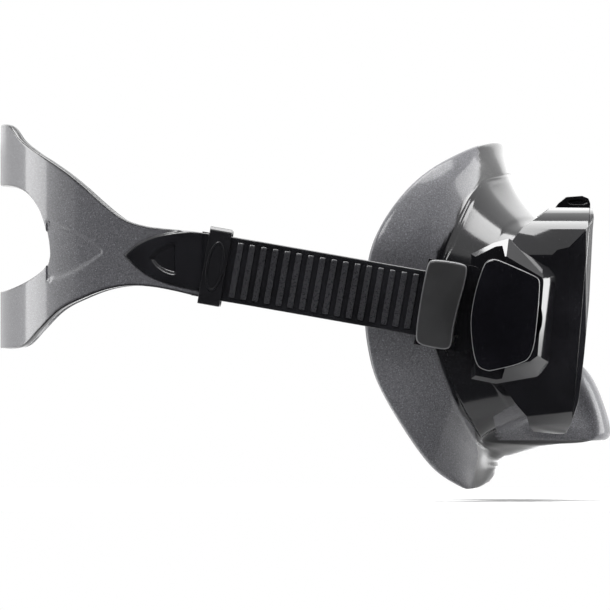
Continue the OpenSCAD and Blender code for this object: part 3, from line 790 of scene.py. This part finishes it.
def rib_tree():
    """Geometry Nodes: a row of rounded ribs along a line of given count, pitch and size."""
    tree = bpy.data.node_groups.new("strap ribs", "GeometryNodeTree")
    face = tree.interface
    face.new_socket("Geometry", in_out="INPUT", socket_type="NodeSocketGeometry")
    for name, value in RIBS.items():
        kind = "NodeSocketInt" if name == "Count" else "NodeSocketFloat"
        face.new_socket(name, in_out="INPUT", socket_type=kind).default_value = value
    face.new_socket("Material", in_out="INPUT", socket_type="NodeSocketMaterial")
    face.new_socket("Geometry", in_out="OUTPUT", socket_type="NodeSocketGeometry")
    nodes, links = tree.nodes, tree.links
    given = nodes.new("NodeGroupInput")
    result = nodes.new("NodeGroupOutput")
    line = nodes.new("GeometryNodeMeshLine")
    step = nodes.new("ShaderNodeCombineXYZ")
    minus = nodes.new("ShaderNodeMath")
    minus.operation = "MULTIPLY"
    minus.inputs[1].default_value = -1.0
    size = nodes.new("ShaderNodeCombineXYZ")
    block = nodes.new("GeometryNodeMeshCube")
    for number, count in (("Vertices X", 3), ("Vertices Y", 3), ("Vertices Z", 5)):
        block.inputs[number].default_value = count
    smooth = nodes.new("GeometryNodeSubdivisionSurface")
    smooth.inputs["Level"].default_value = 2
    smooth.inputs["Edge Crease"].default_value = 0.62
    place = nodes.new("GeometryNodeInstanceOnPoints")
    real = nodes.new("GeometryNodeRealizeInstances")
    paint = nodes.new("GeometryNodeSetMaterial")
    links.new(given.outputs["Count"], line.inputs["Count"])
    links.new(given.outputs["Pitch"], minus.inputs[0])
    links.new(minus.outputs[0], step.inputs["X"])
    links.new(step.outputs[0], line.inputs["Offset"])
    links.new(given.outputs["Width"], size.inputs["X"])
    links.new(given.outputs["Height"], size.inputs["Y"])
    links.new(given.outputs["Length"], size.inputs["Z"])
    links.new(size.outputs[0], block.inputs["Size"])
    links.new(block.outputs["Mesh"], smooth.inputs["Mesh"])
    links.new(line.outputs["Mesh"], place.inputs["Points"])
    links.new(smooth.outputs["Mesh"], place.inputs["Instance"])
    links.new(place.outputs["Instances"], real.inputs[0])
    links.new(real.outputs[0], paint.inputs["Geometry"])
    links.new(given.outputs["Material"], paint.inputs["Material"])
    links.new(paint.outputs[0], result.inputs[0])
    return tree, face


def build_ribs():
    """The ribs of both sides, laid on the strap's outer face."""
    tree, face = rib_tree()
    seed_mesh = bpy.data.meshes.new("strap_ribs")
    ribs = bpy.data.objects.new("strap_ribs", seed_mesh)
    bpy.context.scene.collection.objects.link(ribs)
    modifier = ribs.modifiers.new("ribs", "NODES")
    modifier.node_group = tree
    keys = {item.name: item.identifier for item in face.items_tree if item.in_out == "INPUT"}
    for name, value in RIBS.items():
        modifier[keys[name]] = value if name == "Count" else value * MM
    modifier[keys["Material"]] = STRAP_SILICONE
    bake_modifiers(ribs)
    mesh = ribs.data
    work = bmesh.new()
    work.from_mesh(mesh)
    right = bmesh.ops.duplicate(work, geom=work.verts[:] + work.edges[:] + work.faces[:])["geom"]
    right_verts = {v for v in right if isinstance(v, bmesh.types.BMVert)}
    for v in work.verts:
        u, lift, across = v.co.x / MM + FIRST_RIB_U, v.co.y / MM, v.co.z / MM
        px, py, pz = on_strap(u, across, LAYER_Y1 + 0.03 + lift)
        v.co = Vector((px * MM, (-py if v in right_verts else py) * MM, pz * MM))
    bmesh.ops.recalc_face_normals(work, faces=work.faces)
    work.to_mesh(mesh)
    work.free()
    mesh.shade_smooth()
    # The ribs get part of the grey mark: a painted highlight that makes them paler than the black strap.
    grey = mesh.attributes.new("grey", "FLOAT", "POINT")
    grey.data.foreach_set("value", np.full(len(mesh.vertices), RIB_PAINTED_HIGHLIGHT, np.float32))
    if not mesh.materials:
        mesh.materials.append(STRAP_SILICONE)
    return ribs


ribs = build_ribs()
settle(strap, ["strap"], "right_buckle")
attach(ribs, "right_buckle")

# ---------------------------------------------------------------- stage
def panel(name, corners, material):
    mesh = bpy.data.meshes.new(name)
    mesh.from_pydata(corners, [], [tuple(range(len(corners)))])
    mesh.materials.append(material)
    piece = bpy.data.objects.new(name, mesh)
    bpy.context.scene.collection.objects.link(piece)
    return piece


floor_material = Finish("pale floor")
floor_tone = floor_material.tint(floor_material.noise(3.0), (0.84, 0.84, 0.84), (0.88, 0.88, 0.88))
floor_material.set(Base_Color=floor_tone, Roughness=0.85)
FLOOR_Z = cad_box[0][2] - 0.004
FLOOR = [(-0.8, -0.42, FLOOR_Z), (0.75, -0.42, FLOOR_Z), (0.75, 0.55, FLOOR_Z), (-0.8, 0.55, FLOOR_Z)]
panel("studio_floor", FLOOR, floor_material.material)

world = bpy.data.worlds.new("studio")
bpy.context.scene.world = world
world.use_nodes = True
wn, wl = world.node_tree.nodes, world.node_tree.links
dim = wn["Background"]
dim.inputs["Color"].default_value = (1, 1, 1, 1)
dim.inputs["Strength"].default_value = 0.28
seen = wn.new("ShaderNodeBackground")
seen.inputs["Color"].default_value = (1, 1, 1, 1)
seen.inputs["Strength"].default_value = 1.0
ray = wn.new("ShaderNodeLightPath")
pick = wn.new("ShaderNodeMath")
pick.operation = "MAXIMUM"
wl.new(ray.outputs["Is Camera Ray"], pick.inputs[0])
wl.new(ray.outputs["Is Transmission Ray"], pick.inputs[1])
more = wn.new("ShaderNodeMath")
more.operation = "MAXIMUM"
wl.new(pick.outputs[0], more.inputs[0])
wl.new(ray.outputs["Is Glossy Ray"], more.inputs[1])
choose = wn.new("ShaderNodeMixShader")
wl.new(more.outputs[0], choose.inputs[0])
wl.new(dim.outputs[0], choose.inputs[1])
wl.new(seen.outputs[0], choose.inputs[2])
wl.new(choose.outputs[0], wn["World Output"].inputs["Surface"])


def dark_card(name, corners):
    """A black card at one side of the set, seen only in reflections."""
    card = Finish(name)
    card.set(Base_Color=(0.004, 0.004, 0.004), Roughness=1.0, Specular_IOR_Level=0.0)
    piece = panel(name, corners, card.material)
    piece.visible_camera = piece.visible_diffuse = piece.visible_shadow = piece.visible_transmission = False
    return piece


dark_card("dark_card_side",
          [(-1.7, -1.25, -0.60), (1.7, -1.25, -0.60), (1.7, -1.25, 1.05), (-1.7, -1.25, 1.05)])
dark_card("dark_card_ahead",
          [(1.15, -1.25, -0.60), (1.15, -0.32, -0.60), (1.15, -0.32, 0.75), (1.15, -1.25, 0.75)])
dark_card("dark_card_behind",
          [(-1.25, -1.25, -0.60), (-1.25, -0.32, -0.60), (-1.25, -0.32, 0.75), (-1.25, -1.25, 0.75)])
CARD_Z = FLOOR_Z + 0.002
dark_card("dark_card_low",
          [(-1.6, -1.2, CARD_Z), (1.6, -1.2, CARD_Z), (1.6, -0.055, CARD_Z), (-1.6, -0.055, CARD_Z)])


def softbox(name, place, aim, size, power):
    lamp = bpy.data.lights.new(name, "AREA")
    lamp.shape, lamp.size, lamp.size_y, lamp.energy = "RECTANGLE", size[0], size[1], power
    holder = bpy.data.objects.new(name, lamp)
    holder.location = place
    holder.rotation_euler = (Vector(aim) - Vector(place)).to_track_quat("-Z", "Y").to_euler()
    holder.visible_camera = False
    bpy.context.scene.collection.objects.link(holder)
    return holder


AIM = (-0.04, 0.0, 0.0)
softbox("top_box", (0.02, 0.10, 0.80), AIM, (0.9, 0.45), 12.0)
softbox("front_box", (0.80, 0.27, 0.10), AIM, (0.45, 1.0), 11.0)
softbox("rear_box", (-0.85, 0.22, 0.15), AIM, (0.30, 0.9), 6.0)
softbox("back_box", (-0.02, 1.20, 0.42), AIM, (1.7, 0.75), 3.5)
softbox("key_box", (-0.30, -0.80, 0.80), AIM, (0.5, 0.35), 8.0)

camera_data = bpy.data.cameras.new("side camera")
LENS, SENSOR, SPAN = 1500.0, 36.0, 0.2074     # long lens, so that the side view is almost parallel
camera_data.lens, camera_data.sensor_width = LENS, SENSOR
camera = bpy.data.objects.new("side camera", camera_data)
camera.location = (-0.0435, -LENS / SENSOR * SPAN, 0.0034)
camera.rotation_euler = (math.pi / 2, 0, 0)
bpy.context.scene.collection.objects.link(camera)
bpy.context.scene.camera = camera
bpy.context.scene.view_settings.view_transform = "Standard"
